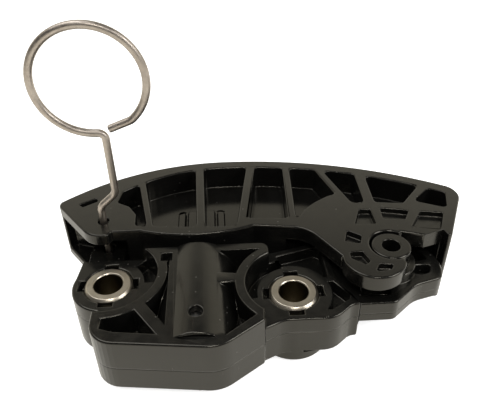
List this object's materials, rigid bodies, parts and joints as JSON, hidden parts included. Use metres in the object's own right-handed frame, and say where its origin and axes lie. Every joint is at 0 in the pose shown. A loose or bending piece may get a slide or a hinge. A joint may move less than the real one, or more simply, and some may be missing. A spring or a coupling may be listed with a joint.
{
  "type": "timing chain tensioner",
  "caption": "Hydraulic timing chain tensioner: black moulded body on steel bushes, ribbed pivoting arm moved by a plunger, and a wire pin with a pull ring that locks the arm.",
  "frame": {"origin": "axis of the right-hand bolt on the mounting plane, at the engine end of its bush", "axes": "+Z along the bolts away from the engine, +Y along the plunger towards the arm, +X from the plunger towards the pivot"},
  "size_m": [0.1031, 0.0647, 0.0707],
  "materials": {
    "black_nylon": "satin glass-filled nylon",
    "arm_nylon": "satin nylon",
    "bush_steel": "turned",
    "turned_steel": "ground",
    "ball_steel": "polished",
    "pressed_steel": "pressed",
    "spring_steel": "drawn",
    "vent_plastic": "natural",
    "wire_steel": "drawn wire, dull"
  },
  "bodies": {
    "body": {"housing": "black_nylon", "bush_left": "bush_steel", "bush_right": "bush_steel", "cylinder_sleeve": "turned_steel", "valve_seat": "turned_steel", "check_ball": "ball_steel", "ball_spring": "spring_steel", "ball_cage": "pressed_steel", "plunger_spring": "spring_steel"},
    "plunger": {"plunger": "turned_steel", "vent_disc": "vent_plastic"},
    "arm": {"tensioner_arm": "arm_nylon"},
    "pin": {"lock_pin": "wire_steel"}
  },
  "joints": [
    {"name": "arm_pivot", "type": "hinge", "parent": "body", "child": "arm", "pos_m": [0.0235, 0.0076, 0.0105], "axis": [0, 0, -1], "range_deg": [0, 12]},
    {"name": "plunger_slide", "type": "slide", "parent": "body", "child": "plunger", "axis": [0, 1, 0], "range_m": [0, 0.0087], "deforming": ["plunger_spring"]},
    {"name": "lock_pin_pull", "type": "slide", "parent": "arm", "child": "pin", "axis": [0, 0, 1], "range_m": [0, 0.05]}
  ],
  "couplings": [
    {"joint": "arm_pivot", "follows": "lock_pin_pull", "rad_per_m": 4.18},
    {"joint": "plunger_slide", "follows": "lock_pin_pull", "ratio": 0.1724}
  ]
}
